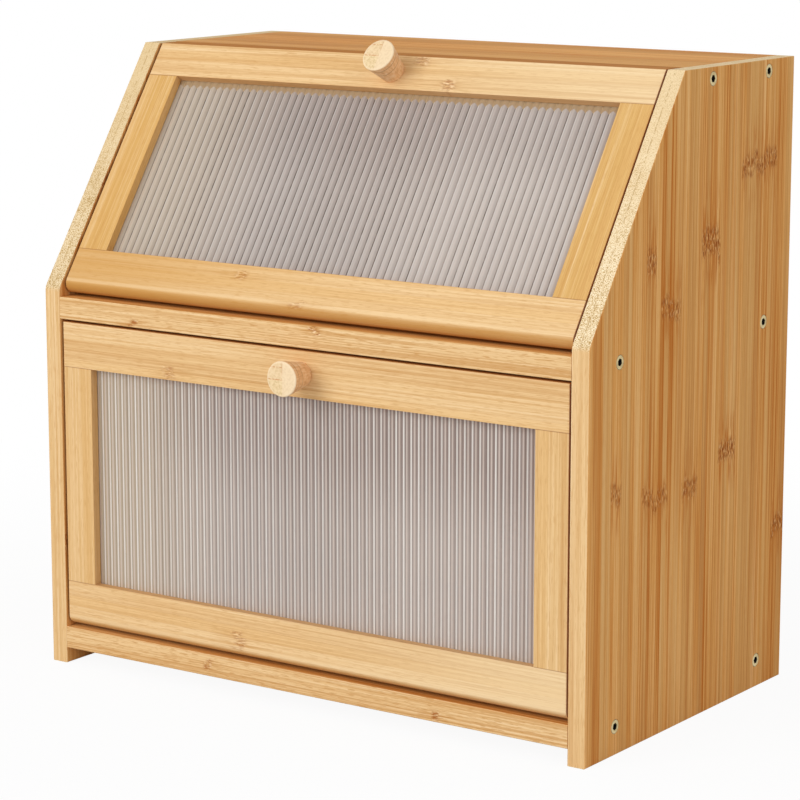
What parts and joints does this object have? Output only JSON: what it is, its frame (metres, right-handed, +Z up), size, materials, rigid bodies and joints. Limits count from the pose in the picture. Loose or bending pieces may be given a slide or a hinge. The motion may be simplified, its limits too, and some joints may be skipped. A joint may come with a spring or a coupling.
{
  "type": "bread box",
  "caption": "Two-tier bamboo bread box: slanted upper front, two framed doors with clear fluted panes that fall forward on foot hinges, turned knobs.",
  "frame": {"origin": "on the table, under the middle of the whole box from the lower knob's face to the back edges of the side panels", "axes": "+X to the right seen from the front, +Y to the back, +Z up; the doors face -Y"},
  "size_m": [0.4, 0.255, 0.4002],
  "materials": {
    "side_bamboo": "satin lacquered vertical-laminated bamboo",
    "board_bamboo": "satin lacquered bamboo",
    "back_bamboo": "lacquered bamboo ply",
    "door_bamboo": "satin lacquered bamboo",
    "knob_bamboo": "satin turned bamboo",
    "fluted_pane": "clear fluted acrylic",
    "case_screw_steel": "zinc-plated steel",
    "small_screw_steel": "zinc-plated steel",
    "pin_steel": "ground steel",
    "magnet": "nickel-plated magnet"
  },
  "bodies": {
    "case": {"left_side_panel": "side_bamboo", "right_side_panel": "side_bamboo", "top_panel": "board_bamboo", "middle_shelf": "board_bamboo", "base_board": "board_bamboo", "back_panel": "back_bamboo", "back_screws": "small_screw_steel", "left_case_screws": "case_screw_steel", "right_case_screws": "case_screw_steel", "stop_strip": "board_bamboo", "lower_magnets": "magnet", "upper_magnets": "magnet", "lower_hinge_pins": "pin_steel", "upper_hinge_pins": "pin_steel"},
    "lower_door": {"lower_door_foot_rail": "door_bamboo", "lower_door_top_rail": "door_bamboo", "lower_door_left_stile": "door_bamboo", "lower_door_right_stile": "door_bamboo", "lower_door_pane": "fluted_pane", "lower_door_knob": "knob_bamboo", "lower_door_knob_screw": "small_screw_steel", "lower_door_strike_plates": "pin_steel"},
    "upper_door": {"upper_door_foot_rail": "door_bamboo", "upper_door_top_rail": "door_bamboo", "upper_door_left_stile": "door_bamboo", "upper_door_right_stile": "door_bamboo", "upper_door_pane": "fluted_pane", "upper_door_knob": "knob_bamboo", "upper_door_knob_screw": "small_screw_steel", "upper_door_strike_plates": "pin_steel"}
  },
  "joints": [
    {"name": "lower_door_hinge", "type": "hinge", "parent": "case", "child": "lower_door", "pos_m": [0, -0.1015, 0.032], "axis": [1, 0, 0], "range_deg": [0, 91.5]},
    {"name": "upper_door_hinge", "type": "hinge", "parent": "case", "child": "upper_door", "pos_m": [0, -0.09825, 0.2455], "axis": [1, 0, 0], "range_deg": [0, 132]}
  ]
}
